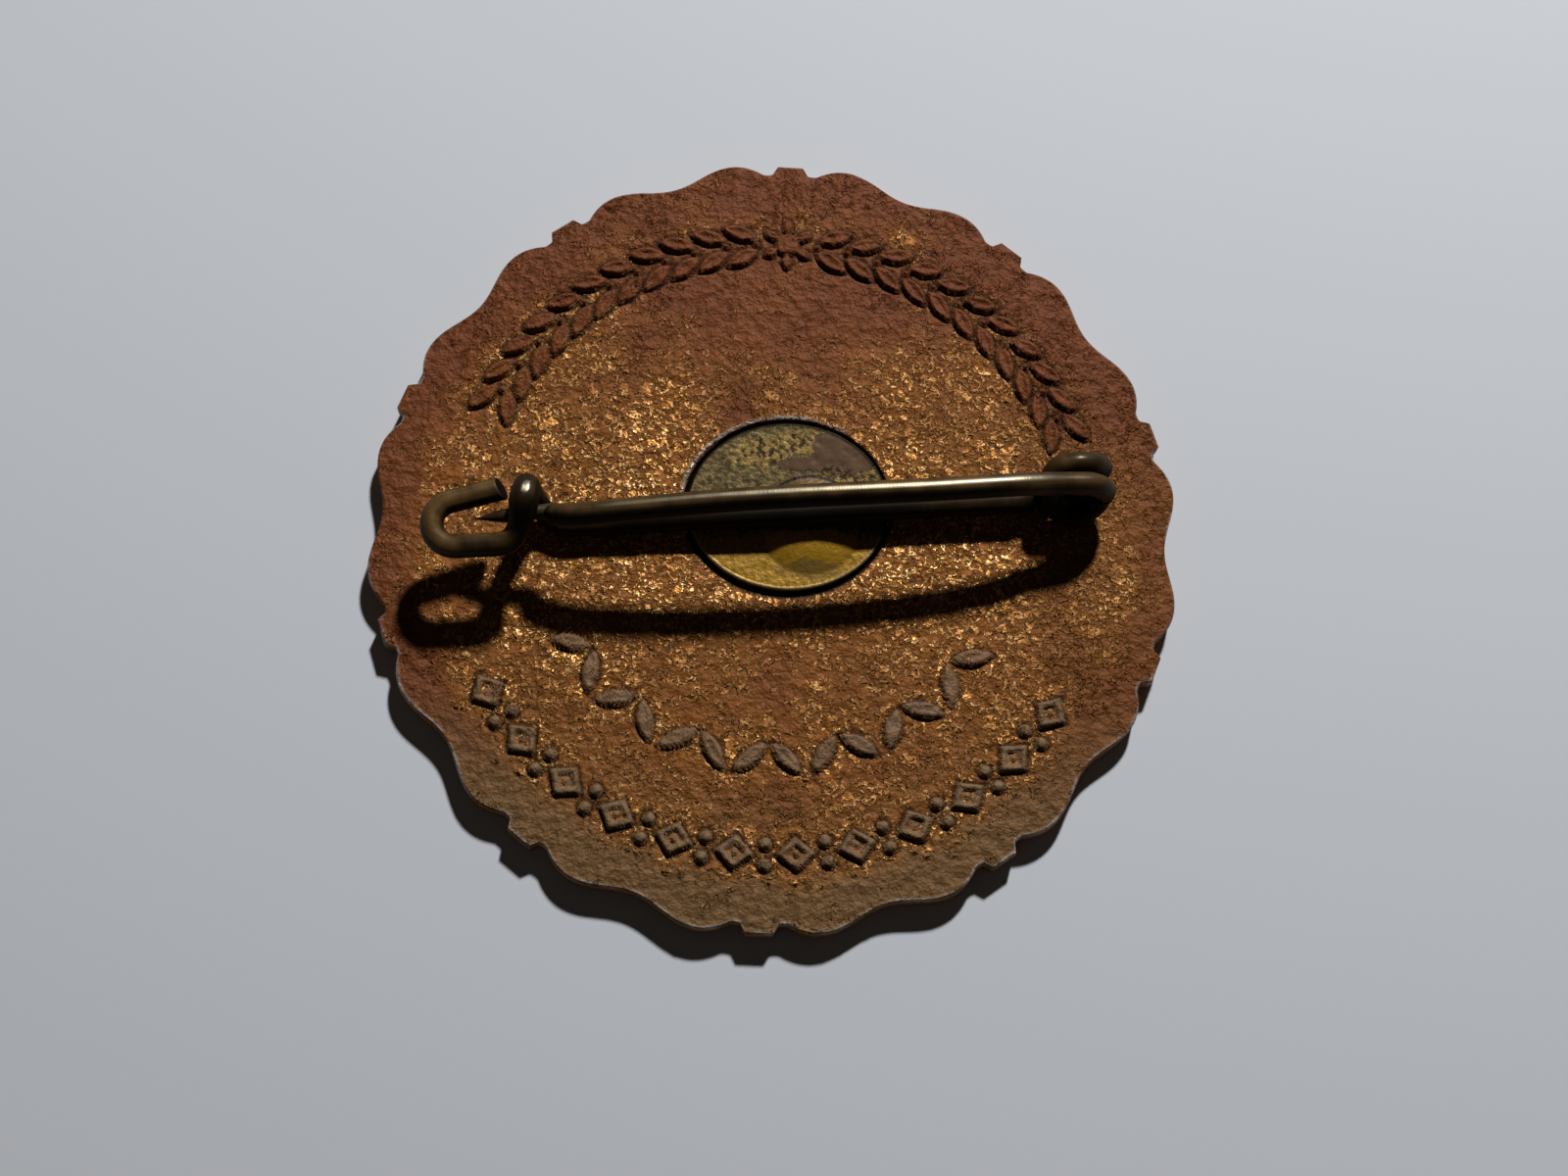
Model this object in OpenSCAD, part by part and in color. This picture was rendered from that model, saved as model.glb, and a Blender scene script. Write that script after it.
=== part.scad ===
/* [Struck plate] */
// Mean radius of the scalloped edge
plate_r = 17.7; // [14:0.1:24]
// Thickness of the plate at its rim
plate_t = 1.1; // [0.9:0.05:2]
// Number of tabs round the edge, each between two lobes
panels = 10; // [6:2:14]
// How far the lobes stand out beyond the mean radius
lobe_out = 0.3; // [0.1:0.05:0.6]
// How far the valleys between two lobes dip below the mean radius
valley_in = 0.35; // [0.1:0.05:0.6]
// How far the notches beside each tab dip below the mean radius
notch_in = 0.2; // [0.1:0.05:0.4]
// How far the tabs stand out beyond the mean radius
tab_out = 0.22; // [0.1:0.02:0.5]
// Fourfold swell of the outline
four_swell = 0.14; // [0:0.02:0.4]
// Depth of the plain field sunk in the front, inside its border
front_sink = 0.25; // [0.1:0.05:0.35]
// Radius of the plain field in the front
front_field_r = 15.3; // [12:0.1:16]

/* [Raised ornament] */
// Height of the raised ornament above the back of the plate
relief_h = 0.22; // [0.1:0.02:0.4]
// Middle radius of the leaf garland
garland_r = 14; // [12:0.1:14.5]
// Leaf pairs on each branch of the garland
garland_pairs = 11; // [4:1:12]
// Length of a garland leaf
leaf_len = 1.75; // [1:0.05:2]
// Width of a garland leaf
leaf_w = 0.72; // [0.4:0.02:0.9]
// Middle radius of the outer row of lozenges and beads
lozenge_r = 14.6; // [12:0.1:14.8]
// Number of lozenges in that row
lozenges = 12; // [5:1:13]
// Middle radius of the inner row of small leaves
sprig_r = 10.4; // [9:0.1:11]
// Number of small leaves in that row
sprigs = 14; // [5:1:16]

/* [Brass boss] */
// Half length of the oval boss
boss_a = 4.58; // [4:0.02:6]
// Half width of the oval boss
boss_b = 4; // [3.8:0.02:6]
// How far the boss lies below the back of the plate
boss_drop = 0.08; // [0:0.02:0.12]
// Depth of the oval seat that the boss is let into
seat_depth = 0.35; // [0.3:0.05:0.5]
// Play of the boss in its seat at either end, on average
seat_play_a = 0.11; // [0.09:0.01:0.2]
// Play of the boss in its seat above and below, on average
seat_play_b = 0.19; // [0.16:0.01:0.25]
// Radius of the solder dome at its foot
solder_r = 2.3; // [1.5:0.05:2.4]
// Height of the solder dome above the boss
solder_h = 0.5; // [0.42:0.02:0.7]

/* [Wire fitting] */
// Thickness of the wire
wire_d = 1.04; // [0.8:0.02:1.06]
// Turn of the whole fitting on the plate, in degrees
fitting_turn = 6; // [-10:1:10]
// Height of the middle of the base wire above the plate, at the catch
base_lift = 0.62; // [0.55:0.01:0.72]
// How much higher the base wire runs near the coil
base_rise = 0.22; // [0:0.02:0.3]
// Distance of the coil's middle from the middle of the fitting
coil_x = 12.65; // [11:0.05:13]
// Radius of the coil, to the middle of the wire
coil_r = 1.2; // [1.1:0.02:1.4]
// Height of the top of the pin's bow above the plate
bow_h = 4.1; // [3.8:0.05:5]
// Height of the top of the catch, to the middle of the wire
arch_h = 4.05; // [3.9:0.05:4.4]
// Height of the flat loop of the catch, to the middle of the wire
loop_h = 2.95; // [2.8:0.05:3.2]
// Radius of the bend of that loop, to the middle of the wire
loop_r = 1.04; // [0.9:0.02:1.3]
// Thickness of the ground point behind its taper
needle_d = 0.64; // [0.4:0.02:0.66]
// Length of the even part of the ground point
needle_len = 1.95; // [1.4:0.05:2]
// Length of the taper of the ground point
taper_len = 1.25; // [1:0.05:1.5]

/* [Hidden] */
$fn = 48;
wire_r = wire_d / 2;
wire_sides = 12;
panel_a = 360 / panels;
tab_top_a = 1.9;
tab_foot_a = 2.7;
notch_a = 4;
lobe_a = 8.8;
edge_step = 1;
fitting_at = [0.63, 0.6, plate_t];
solder_at = [0.89, -0.3];
boss_at = [0.52, 1.27];
boss_turn = 4;
seat_shift = [-0.05, -0.12];
floor_gap = 0.03;
solder_root = 0.1;
relief_root = 0.1;
garland_open = 20;
leaf_splay = 24;
leaf_offset = 0.62;
stalk_bead_r = 0.15;
flower_r = 0.55;
petal = [0.8, 0.42];
petal_at = 0.88;
row_from = 208;
row_to = 333;
lozenge_size = [1.7, 1.5];
row_bead_r = 0.27;
row_bead_at = 0.45;
sprig_size = [1.9, 0.7];
sprig_lean = 48;
cut_gap_a = 4;
rear_press = 0.16;
loop_at = [-14.6, -0.46];
loop_flare = 13;
loop_end = 2.3;
arm_lean = 80;
arm_end_x = -10.7;
needle_at = [-0.03, 2.83];
needle_fall = 5;
needle_aim = 2;
needle_point_r = 0.04;
needle_root = 0.3;

// Radius of the edge at u degrees from the middle of a tab
function edge_rise(u) =
    u <= tab_top_a ? tab_out
    : u < notch_a ? -notch_in
    : u < lobe_a ? lobe_out - (lobe_out + notch_in) * pow((lobe_a - u) / (lobe_a - notch_a), 2)
    : lobe_out - (lobe_out + valley_in) * (1 - cos(180 * (u - lobe_a) / (panel_a / 2 - lobe_a))) / 2;

// Angles of the edge's points within one panel, finer where the tab has its corners
panel_angles = concat(
    [for (u = [-panel_a / 2 : edge_step : -notch_a]) u],
    [-tab_foot_a, -tab_top_a, tab_top_a, tab_foot_a],
    [for (u = [notch_a : edge_step : panel_a / 2 - edge_step]) u]
);

module plate_outline() {
    polygon([
        for (p = [0 : panels - 1])
        for (u = panel_angles)
        let (a = 90 + p * panel_a + u)
        let (r = plate_r + edge_rise(abs(u)) + four_swell * cos(4 * a))
        [r * cos(a), r * sin(a)]
    ]);
}

module oval(a, b) {
    polygon([for (i = [0 : 5 : 355]) [a * cos(i), b * sin(i)]]);
}

// A leaf is the lens that two equal circles share
module leaf(length, width) {
    r = (length * length + width * width) / (4 * width);
    intersection() {
        translate([0, r - width / 2]) circle(r);
        translate([0, width / 2 - r]) circle(r);
    }
}

module lozenge(length, width) {
    polygon([[-length / 2, 0], [0, -width / 2], [length / 2, 0], [0, width / 2]]);
}

// Sets what follows on the back of the plate, at a radius and an angle
module on_back(r, a) {
    rotate([0, 0, a])
    translate([r, 0, plate_t - relief_root])
    rotate([0, 0, 90])
    linear_extrude(relief_root + relief_h)
    children();
}

// One branch of the garland, from its stalk at the side up to the top
module branch(side) {
    step = (180 - 2 * garland_open) / 2 / (garland_pairs + 1);
    for (i = [0 : garland_pairs - 1]) {
        a = 90 - side * (90 - garland_open - step * (i + 0.5));
        on_back(garland_r + leaf_offset, a) rotate(side * leaf_splay) leaf(leaf_len, leaf_w);
        on_back(garland_r - leaf_offset, a) rotate(-side * leaf_splay) leaf(leaf_len, leaf_w);
        on_back(garland_r, a + side * step / 2) circle(stalk_bead_r);
    }
}

module garland() {
    branch(1);
    branch(-1);
    on_back(garland_r, 90) circle(flower_r);
    for (i = [0 : 5]) {
        on_back(garland_r, 90) rotate(60 * i + 30) translate([petal_at, 0]) leaf(petal[0], petal[1]);
    }
}

module lozenge_row() {
    step = (row_to - row_from) / lozenges;
    for (i = [0 : lozenges - 1]) {
        a = row_from + step * (i + 0.5);
        on_back(lozenge_r, a) lozenge(lozenge_size[0], lozenge_size[1]);
        if (i > 0) {
            on_back(lozenge_r + row_bead_at, a - step / 2) circle(row_bead_r);
            on_back(lozenge_r - row_bead_at, a - step / 2) circle(row_bead_r);
        }
    }
}

module sprig_row() {
    step = (row_to - row_from) / sprigs;
    for (i = [0 : sprigs - 1]) {
        a = row_from + step * (i + 0.5);
        on_back(sprig_r, a) rotate(i % 2 == 0 ? sprig_lean : -sprig_lean) leaf(sprig_size[0], sprig_size[1]);
    }
}

module struck_plate() {
    color("peru")
    union() {
        difference() {
            linear_extrude(plate_t) plate_outline();
            translate([0, 0, -1])
            cylinder(r = front_field_r, h = 1 + front_sink, $fn = 96);
            translate([boss_at[0] + seat_shift[0], boss_at[1] + seat_shift[1], plate_t - seat_depth])
            rotate([0, 0, boss_turn])
            linear_extrude(seat_depth + 1)
            oval(boss_a + seat_play_a, boss_b + seat_play_b);
        }
        garland();
        lozenge_row();
        sprig_row();
    }
}

function unit(v) = v / norm(v);

// A smooth curve through stations of x, y, z and the wire's radius, n steps to each stretch
function curve_at(a, b, c, d, t) =
    (2 * b + (c - a) * t + (2 * a - 5 * b + 4 * c - d) * t * t + (3 * b - a - 3 * c + d) * t * t * t) / 2;
function smooth(st, n) = [
    for (i = [0 : len(st) - 2])
    let (last = len(st) - 1)
    for (k = [0 : (i == last - 1 ? n : n - 1)])
    curve_at(st[max(i - 1, 0)], st[i], st[i + 1], st[min(i + 2, last)], k / n)
];

function place(q) = [q[0], q[1], q[2]];
function heading(rings, i) =
    unit(place(rings[min(i + 1, len(rings) - 1)]) - place(rings[max(i - 1, 0)]));
function square_to(v, t) = unit(v - (v * t) * t);

// Sweeps a round wire along its rings, and carries the first side direction on without a twist
module wire(rings, side) {
    count = len(rings);
    sides = [
        for (i = 0, v = square_to(side, heading(rings, 0));
             i < count;
             i = i + 1, v = i < count ? square_to(v, heading(rings, i)) : v)
        v
    ];
    points = [
        for (i = [0 : count - 1])
        let (t = heading(rings, i), u = sides[i], w = cross(t, u))
        for (k = [0 : wire_sides - 1])
        place(rings[i]) + rings[i][3] * (cos(360 * k / wire_sides) * u + sin(360 * k / wire_sides) * w)
    ];
    walls = [
        for (i = [0 : count - 2])
        for (k = [0 : wire_sides - 1])
        let (a = i * wire_sides + k, b = i * wire_sides + (k + 1) % wire_sides)
        [a, a + wire_sides, b + wire_sides, b]
    ];
    polyhedron(
        points = points,
        faces = concat(
            [[for (k = [0 : wire_sides - 1]) k]],
            walls,
            [[for (k = [wire_sides - 1 : -1 : 0]) (count - 1) * wire_sides + k]]
        )
    );
}

// Station on the coil at a degrees from its right side, counted over the top; h is half its height
function on_coil(a, drift, h) =
    [coil_x + coil_r * cos(a), drift, base_lift + h + h * sin(a), wire_r];

// Sideways drift of the fixed part of the coil, by degrees round it from the right side, downwards
coil_drift = [[0, -0.1], [18, -0.1], [45, -0.42], [90, -0.72], [135, -0.45], [180, 0.3], [225, 0.94],
              [270, 1.02], [360, 1.08], [405, 0.98], [450, 0.8]];
// Half height of the coil along the same way: its rear turn is pressed a little flatter
coil_half_h = [[0, coil_r], [180, coil_r], [250, coil_r - rear_press], [450, coil_r - rear_press]];
coil_route = [
    for (a = concat([cut_gap_a, 10], [for (b = [18 : 18 : 450]) b]))
    on_coil(-a, lookup(a, coil_drift), lookup(a, coil_half_h))
];

// The base wire runs from the coil to the foot of the catch
base_route = [
    [coil_x - 0.7, 0.78, base_lift, wire_r],
    [coil_x - 1.2, 0.58, base_lift + 0.3 * base_rise, wire_r],
    [coil_x - 1.8, 0.22, base_lift + 0.7 * base_rise, wire_r],
    [coil_x - 2.5, 0, base_lift + base_rise, wire_r],
    [coil_x - 3.2, 0, base_lift + base_rise, wire_r],
    [4, 0, base_lift + 0.8 * base_rise, wire_r],
    [-3, 0, base_lift + 0.3 * base_rise, wire_r],
    [-9.4, 0, base_lift, wire_r]
];

// The catch rises beside the point, arches over it and comes down on its other side
arch_route = [
    [-10.1, 0.08, base_lift, wire_r],
    [-10.7, 0.46, base_lift + 0.1, wire_r],
    [-11.14, 0.9, base_lift + 0.55, wire_r],
    [-11.33, 1.04, base_lift + 1.3, wire_r],
    [-11.4, 1.04, arch_h - 1.1, wire_r],
    [-11.46, 0.88, arch_h - 0.4, wire_r],
    [-11.52, 0.5, arch_h - 0.04, wire_r],
    [-11.6, 0.08, arch_h, wire_r],
    [-11.7, -0.36, arch_h - 0.28, wire_r],
    [-11.88, -0.85, loop_h + 0.36, wire_r],
    [-12.2, -1.26, loop_h + 0.1, wire_r],
    [-12.7, -1.48, loop_h + 0.02, wire_r]
];

// The loop lies flat, bends round and comes back with a slight flare to its cut end
loop_route = concat(
    [[loop_at[0] + 1.2, loop_at[1] - loop_r, loop_h, wire_r]],
    [
        for (a = [-90 : -20 : -270 + loop_flare])
        [loop_at[0] + loop_r * cos(a), loop_at[1] + loop_r * sin(a), loop_h, wire_r]
    ],
    [
        for (s = [loop_end / 2, loop_end])
        [loop_at[0] + loop_r * cos(90 + loop_flare) + s * cos(loop_flare),
         loop_at[1] + loop_r * sin(90 + loop_flare) + s * sin(loop_flare),
         loop_h - 0.04 * s, wire_r]
    ]
);

// The moving arm leaves the coil over its top and bows along to the back of the ground point
arm_route = concat(
    [
        for (a = concat([cut_gap_a, 10], [for (b = [17 : 15 : arm_lean]) b]))
        on_coil(a, lookup(a, [[17, -0.1], [arm_lean, -0.04]]), coil_r)
    ],
    [
        [coil_x - 1.05, -0.06, bow_h - 0.88, wire_r],
        [coil_x - 2.05, -0.12, bow_h - 0.6, wire_r],
        [coil_x - 3.4, -0.2, bow_h - 0.37, wire_r],
        [6.1, -0.32, bow_h - 0.13, wire_r],
        [2.7, -0.36, bow_h - 0.01, wire_r],
        [-0.5, -0.37, bow_h, wire_r],
        [-3.6, -0.4, bow_h - 0.08, wire_r],
        [-7.4, -0.46, bow_h - 0.42, wire_r],
        [-9.4, -0.45, bow_h - 0.75, wire_r],
        [arm_end_x, -0.28, bow_h - 1.07, wire_r * 0.96]
    ]
);

module in_fitting() {
    translate(fitting_at)
    rotate([0, 0, fitting_turn])
    children();
}

module solder_dome() {
    r = (solder_r * solder_r + solder_h * solder_h) / (2 * solder_h);
    translate([solder_at[0], solder_at[1], -boss_drop])
    intersection() {
        translate([0, 0, solder_h - r]) sphere(r, $fn = 96);
        translate([0, 0, -solder_root]) cylinder(r = solder_r, h = solder_root + solder_h + 1);
    }
}

module catch_fitting() {
    color("darkolivegreen")
    union() {
        translate([boss_at[0], boss_at[1], plate_t - seat_depth + floor_gap])
        rotate([0, 0, boss_turn])
        linear_extrude(seat_depth - floor_gap - boss_drop)
        oval(boss_a, boss_b);
        in_fitting() {
            solder_dome();
            wire(smooth(concat(coil_route, base_route, arch_route, loop_route), 2), [0, 1, 0]);
        }
    }
}

module pin_arm() {
    color("olive")
    in_fitting() {
        wire(smooth(arm_route, 2), [0, 1, 0]);
        translate([arm_end_x + needle_root, needle_at[0], needle_at[1]])
        rotate([0, 0, needle_aim])
        rotate([0, -90 - needle_fall, 0]) {
            cylinder(d = needle_d, h = needle_root + needle_len);
            translate([0, 0, needle_root + needle_len])
            cylinder(r1 = needle_d / 2, r2 = needle_point_r, h = taper_len);
        }
    }
}

struck_plate();
catch_fitting();
pin_arm();
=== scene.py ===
"""Looks of a struck copper pin badge that lies back up, with its sprung wire pin."""

import logging
import math
from dataclasses import dataclass
from enum import Enum

import bpy
import numpy as np
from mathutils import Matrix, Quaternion, Vector, noise


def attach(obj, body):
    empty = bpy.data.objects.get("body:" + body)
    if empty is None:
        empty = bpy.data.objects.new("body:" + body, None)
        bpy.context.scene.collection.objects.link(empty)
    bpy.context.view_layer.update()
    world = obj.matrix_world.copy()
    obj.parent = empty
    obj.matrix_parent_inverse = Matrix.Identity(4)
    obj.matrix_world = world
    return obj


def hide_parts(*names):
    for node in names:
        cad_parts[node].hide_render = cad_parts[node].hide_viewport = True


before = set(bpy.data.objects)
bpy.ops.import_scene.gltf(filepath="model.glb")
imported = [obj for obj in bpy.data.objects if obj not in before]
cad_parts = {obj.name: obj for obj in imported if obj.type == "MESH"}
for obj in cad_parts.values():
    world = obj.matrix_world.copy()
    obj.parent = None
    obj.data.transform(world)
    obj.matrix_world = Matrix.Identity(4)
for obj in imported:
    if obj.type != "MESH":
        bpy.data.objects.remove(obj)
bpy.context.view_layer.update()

MM = 0.001
# Thickness of the plate, in millimetres
PLATE_T = 1.1
log = logging.getLogger("pin_badge")

Ring = np.ndarray
Faces = list[tuple[int, ...]]
Span = tuple[float, float]
Station = tuple[float, float, float, float]
Socket = bpy.types.NodeSocket
Value = Socket | float | str


# Node trees

def linear(code: str) -> tuple[float, float, float, float]:
    """Turns an sRGB hex colour to linear values.

    Args:
        code: colour such as "#b5672f".

    Returns:
        Red, green, blue and alpha, linear.
    """
    parts = [int(code[i:i + 2], 16) / 255 for i in (1, 3, 5)]
    red, green, blue = (c / 12.92 if c <= 0.04045 else ((c + 0.055) / 1.055) ** 2.4 for c in parts)
    return red, green, blue, 1.0


def add_node(tree: bpy.types.NodeTree, kind: str, settings: dict) -> bpy.types.Node:
    """Adds a node to a tree, sets it and links it.

    Args:
        tree: tree that takes the node.
        kind: Blender's name of the node type.
        settings: values by property name, or by input name or number. A socket is linked, and "stops" holds
            the places and hex colours of a ramp.

    Returns:
        The new node.
    """
    node = tree.nodes.new(kind)
    for key, value in settings.items():
        if isinstance(value, Socket):
            tree.links.new(value, node.inputs[key])
        elif key == "stops":
            stops = node.color_ramp.elements
            while len(stops) < len(value):
                stops.new(0.5)
            for stop, (place, code) in zip(stops, value):
                stop.position = place
                stop.color = linear(code)
        elif isinstance(key, int) or key in node.inputs:
            node.inputs[key].default_value = value
        else:
            setattr(node, key, value)
    return node


class Shading:
    """The node tree of one material, with a short method for each kind of node that the finishes use.

    The methods take numbers or output sockets, and return an output socket.
    """

    def __init__(self, name: str) -> None:
        """Makes an empty node material.

        Args:
            name: name of the material.
        """
        self.material = bpy.data.materials.new(name)
        self.material.use_nodes = True
        self.tree = self.material.node_tree
        self.tree.nodes.clear()

    def node(self, kind: str, settings: dict, output: int | str = 0) -> Socket:
        """Adds a node and returns one of its outputs."""
        return add_node(self.tree, "ShaderNode" + kind, settings).outputs[output]

    def in_mm(self) -> Socket:
        """Returns the place on the object in millimetres."""
        place = self.node("TexCoord", {}, "Object")
        return self.node("VectorMath", {"operation": "SCALE", 0: place, "Scale": 1 / MM})

    def field(self, name: str, output: str = "Fac") -> Socket:
        """Reads a field of the mesh."""
        return self.node("Attribute", {"attribute_name": name}, output)

    def noise(self, at: Socket, cell: float, detail: float, roughness: float = 0.5, twist: float = 0.0,
              output: str = "Fac") -> Socket:
        """Adds noise from 0 to 1, whose swellings are one cell wide, in millimetres."""
        return self.node("TexNoise", {"Vector": at, "Scale": 1 / cell, "Detail": detail,
                                      "Roughness": roughness, "Distortion": twist}, output)

    def math(self, operation: str, *values: Value) -> Socket:
        """Calculates with one to three values."""
        return self.node("Math", {"operation": operation} | dict(enumerate(values)))

    def spread(self, value: Socket, low: float, high: float, to_low: float = 0.0, to_high: float = 1.0,
               kind: str = "LINEAR") -> Socket:
        """Maps the range of a value to another one, cut off at both ends."""
        return self.node("MapRange", {"interpolation_type": kind, "Value": value, "From Min": low,
                                      "From Max": high, "To Min": to_low, "To Max": to_high})

    def ramp(self, value: Socket, *stops: tuple[float, str]) -> Socket:
        """Turns a value to a colour between stops."""
        return self.node("ValToRGB", {"stops": stops, 0: value}, "Color")

    def mix(self, share: Value, under: Socket, over: Value, blend: str = "MIX") -> Socket:
        """Lays a colour, or a hex colour, over another one by a share from 0 to 1."""
        over = linear(over) if isinstance(over, str) else over
        return self.node("Mix", {"data_type": "RGBA", "blend_type": blend, 0: share, 6: under, 7: over}, 2)

    def close(self, height: Socket, depth: float, surface: dict, strength: float = 1.0) -> bpy.types.Material:
        """Adds the relief, the surface and the output.

        Args:
            height: relief, from 0 to 1.
            depth: depth of the relief, in millimetres.
            surface: inputs of the surface.
            strength: how strongly the relief shows.

        Returns:
            The finished material.
        """
        bump = self.node("Bump", {"Strength": strength, "Distance": depth * MM, "Height": height})
        shader = self.node("BsdfPrincipled", surface | {"Normal": bump})
        add_node(self.tree, "ShaderNodeOutputMaterial", {0: shader})
        return self.material


# Meshes and fields

def mesh_object(name: str, points: np.ndarray, faces: Faces,
                fields: dict[str, np.ndarray]) -> bpy.types.Object:
    """Makes a smooth-shaded object from points in millimetres.

    Args:
        name: name of the object and its mesh.
        points: one row of x, y, z a point, in millimetres.
        faces: point numbers round each face.
        fields: number or vector fields on the points, by name.

    Returns:
        The new object, linked into the scene.
    """
    mesh = bpy.data.meshes.new(name)
    mesh.from_pydata((points * MM).tolist(), [], faces)
    mesh.polygons.foreach_set("use_smooth", [True] * len(mesh.polygons))
    for field_name, values in fields.items():
        kind, key = ("FLOAT", "value") if values.ndim == 1 else ("FLOAT_VECTOR", "vector")
        layer = mesh.attributes.new(field_name, kind, "POINT")
        layer.data.foreach_set(key, values.astype(np.float32).ravel())
    mesh.update()
    piece = bpy.data.objects.new(name, mesh)
    bpy.context.scene.collection.objects.link(piece)
    return piece


def stitch(rings: list[Ring]) -> tuple[np.ndarray, Faces]:
    """Joins closed rings of points, from the first to the last, to a skin.

    Neighbours have the same number of points, or one has twice as many. A ring of one point closes an end.

    Args:
        rings: arrays of x, y, z rows.

    Returns:
        All points, and the faces between the rings.
    """
    faces: Faces = []
    start = 0
    for low, high in zip(rings, rings[1:]):
        a, b = start, start + len(low)
        n, m = len(low), len(high)
        if n == 1:
            faces += [(a, b + k, b + (k + 1) % m) for k in range(m)]
        elif m == 1:
            faces += [(a + k, b, a + (k + 1) % n) for k in range(n)]
        elif n == m:
            faces += [(a + k, b + k, b + (k + 1) % n, a + (k + 1) % n) for k in range(n)]
        elif m == 2 * n:
            for k in range(n):
                near, far = a + k, a + (k + 1) % n
                left, middle, right = b + 2 * k, b + 2 * k + 1, b + (2 * k + 2) % m
                faces += [(near, left, middle), (near, middle, far), (far, middle, right)]
        else:
            for k in range(m):
                left, middle, right = a + 2 * k, a + 2 * k + 1, a + (2 * k + 2) % n
                near, far = b + k, b + (k + 1) % m
                faces += [(left, near, middle), (middle, near, far), (middle, far, right)]
        start = b
    return np.concatenate(rings), faces


def at_height(xy: np.ndarray, z: float | np.ndarray) -> Ring:
    """Lifts x, y points to a height."""
    return np.c_[xy, np.full(len(xy), z)]


def oval(angles: np.ndarray, half: Span, turn: float, middle: Span) -> np.ndarray:
    """Makes x, y points on an oval.

    Args:
        angles: angles of the points, in degrees.
        half: its two half widths.
        turn: its turn, in degrees.
        middle: its middle.

    Returns:
        x, y rows.
    """
    rad, lean = np.radians(angles), math.radians(turn)
    spin = np.array([[math.cos(lean), math.sin(lean)], [-math.sin(lean), math.cos(lean)]])
    return np.c_[half[0] * np.cos(rad), half[1] * np.sin(rad)] @ spin + np.array(middle)


def grain_field(xy: np.ndarray, cell: float, seed: float) -> np.ndarray:
    """Makes smooth noise from -1 to 1 over x, y points. The seed is its level, so that fields differ."""
    return np.array([noise.noise((x / cell, y / cell, seed)) for x, y in xy.tolist()])


def ease(values: np.ndarray) -> np.ndarray:
    """Smooths values that are cut off at 0 and 1."""
    t = np.clip(values, 0, 1)
    return t * t * (3 - 2 * t)


def step(values: np.ndarray, start: float, end: float) -> np.ndarray:
    """Rises smoothly from 0 where the values are at the start to 1 where they are at the end."""
    return ease((values - start) / (end - start))


def bell(values: np.ndarray, middle: float, width: float) -> np.ndarray:
    """Rises softly to 1 where the values are at the middle, and is about a third of that a width away."""
    return np.exp(-((values - middle) / width) ** 2)


def among(values: np.ndarray, first: int, total: int, rest: float) -> np.ndarray:
    """Puts the values of some points among those of all points.

    Args:
        values: one value a point, for points that follow each other.
        first: number of the first of them.
        total: number of all points.
        rest: value of the other points.

    Returns:
        One value for every point.
    """
    full = np.full(total, rest)
    full[first:first + len(values)] = values
    return full


def oval_spot(xy: np.ndarray, at: Span, size: Span) -> np.ndarray:
    """Makes a soft oval patch, 1 in its middle and half of that its size away along x and y."""
    off = (xy - np.array(at)) / np.array(size)
    return np.exp(-0.7 * (off ** 2).sum(axis=1))


# Finishes

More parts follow.
